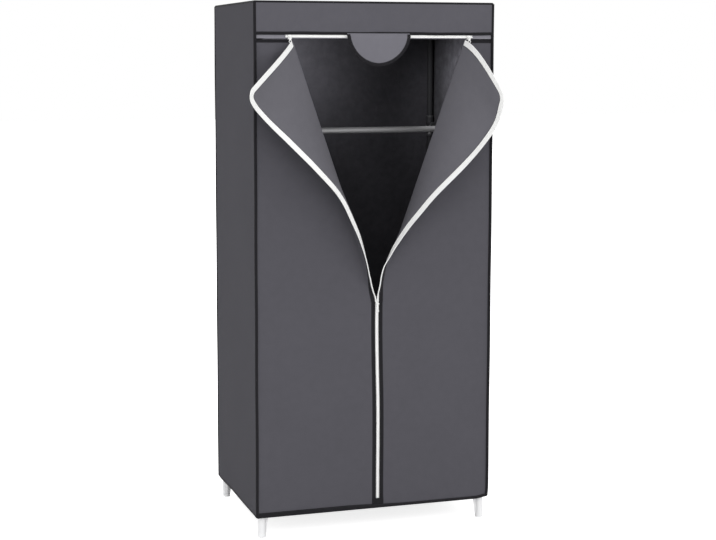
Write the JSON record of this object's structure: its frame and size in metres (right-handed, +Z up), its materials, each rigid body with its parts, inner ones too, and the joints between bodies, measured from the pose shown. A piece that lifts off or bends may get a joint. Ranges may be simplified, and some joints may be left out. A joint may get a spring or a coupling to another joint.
{
  "type": "portable fabric wardrobe",
  "caption": "Free-standing wardrobe: steel tubes in plastic connectors under a grey non-woven cover with piped edges, its zipped front flaps folded open over a hanging rail.",
  "frame": {"origin": "on the floor, in the middle of the box round the whole wardrobe with its flaps open", "axes": "+X to the viewer's right along the front, +Y from the front to the back, +Z up"},
  "size_m": [0.8074, 0.6904, 1.6],
  "materials": {
    "cover_fabric": "dark grey spun-bonded non-woven, fine embossed dots, matt",
    "lining_fabric": "the same non-woven seen from its inner face, a little lighter",
    "tab_fabric": "two layers of the grey non-woven with a thin black bound edge",
    "shelf_fabric": "dark grey non-woven laid over the base rails",
    "binding": "black folded non-woven tape, stitched",
    "zip_tape": "white woven tape with a white nylon coil",
    "zip_slider": "white enamelled die casting",
    "frame_tube": "dark grey powder coat, semi-gloss",
    "rail_tube": "light grey powder coat, semi-gloss",
    "leg_plastic": "white injection-moulded plastic",
    "connector_plastic": "dark grey injection-moulded plastic"
  },
  "bodies": {
    "wardrobe": {"foot_connector_front_left": "leg_plastic", "middle_connector_front_left": "connector_plastic", "top_connector_front_left": "connector_plastic", "lower_post_front_left": "frame_tube", "upper_post_front_left": "frame_tube", "foot_connector_front_right": "leg_plastic", "middle_connector_front_right": "connector_plastic", "top_connector_front_right": "connector_plastic", "lower_post_front_right": "frame_tube", "upper_post_front_right": "frame_tube", "foot_connector_rear_left": "leg_plastic", "middle_connector_rear_left": "connector_plastic", "top_connector_rear_left": "connector_plastic", "lower_post_rear_left": "frame_tube", "upper_post_rear_left": "frame_tube", "foot_connector_rear_right": "leg_plastic", "middle_connector_rear_right": "connector_plastic", "top_connector_rear_right": "connector_plastic", "lower_post_rear_right": "frame_tube", "upper_post_rear_right": "frame_tube", "base_rail_front": "frame_tube", "base_rail_rear": "frame_tube", "base_rail_left": "frame_tube", "base_rail_right": "frame_tube", "top_rail_front": "frame_tube", "top_rail_rear": "frame_tube", "top_rail_left": "frame_tube", "top_rail_right": "frame_tube", "side_rail_left": "frame_tube", "side_rail_right": "frame_tube", "rail_tee_left": "connector_plastic", "rail_tee_right": "connector_plastic", "hanging_rail": "rail_tube", "base_shelf": "shelf_fabric", "roof_panel": "cover_fabric", "back_panel": "cover_fabric", "side_panel_left": "cover_fabric", "side_panel_right": "cover_fabric", "cover_piping": "binding", "hem_binding": "binding", "header_strip": "lining_fabric", "valance": "cover_fabric", "valance_binding": "binding", "front_panel_left": "cover_fabric", "front_panel_right": "cover_fabric", "centre_zip_left": "zip_tape", "centre_zip_right": "zip_tape", "header_zip": "zip_tape"},
    "left_flap": {"left_flap": "lining_fabric", "left_flap_tape": "zip_tape"},
    "right_flap": {"right_flap": "lining_fabric", "right_flap_tape": "zip_tape"},
    "zip_cover_tab": {"zip_cover_tab": "tab_fabric"},
    "centre_slider": {"centre_slider": "zip_slider"},
    "centre_pull": {"centre_pull": "zip_slider"},
    "left_top_slider": {"left_top_slider": "zip_slider"},
    "left_top_pull": {"left_top_pull": "zip_slider"},
    "right_top_slider": {"right_top_slider": "zip_slider"},
    "right_top_pull": {"right_top_pull": "zip_slider"}
  },
  "joints": [
    {"name": "left_flap_fold", "type": "hinge", "parent": "wardrobe", "child": "left_flap", "pos_m": [-0.23318, -0.15142, 1.4885], "axis": [-0.3206, 0, 0.9472], "range_deg": [0, 154]},
    {"name": "right_flap_fold", "type": "hinge", "parent": "wardrobe", "child": "right_flap", "pos_m": [0.31182, -0.15082, 1.4885], "axis": [-0.3324, 0, -0.9431], "range_deg": [0, 122]},
    {"name": "tab_fold", "type": "hinge", "parent": "wardrobe", "child": "zip_cover_tab", "pos_m": [0.03382, -0.15642, 1.506], "axis": [-1, 0, 0], "range_deg": [0, 140]},
    {"name": "centre_slide", "type": "slide", "parent": "wardrobe", "child": "centre_slider", "axis": [0, 0, -1], "range_m": [0, 0.58]},
    {"name": "centre_pull_swing", "type": "hinge", "parent": "centre_slider", "child": "centre_pull", "pos_m": [0.03382, -0.15692, 0.69857], "axis": [-1, 0, 0], "range_deg": [0, 150]},
    {"name": "left_top_slide", "type": "slide", "parent": "wardrobe", "child": "left_top_slider", "axis": [1, 0, 0], "range_m": [0, 0.25]},
    {"name": "left_top_pull_swing", "type": "hinge", "parent": "left_top_slider", "child": "left_top_pull", "pos_m": [-0.23818, -0.15917, 1.4953], "axis": [-1, 0, 0], "range_deg": [0, 150]},
    {"name": "right_top_slide", "type": "slide", "parent": "wardrobe", "child": "right_top_slider", "axis": [-1, 0, 0], "range_m": [0, 0.25]},
    {"name": "right_top_pull_swing", "type": "hinge", "parent": "right_top_slider", "child": "right_top_pull", "pos_m": [0.32182, -0.15917, 1.4953], "axis": [-1, 0, 0], "range_deg": [0, 150]}
  ]
}
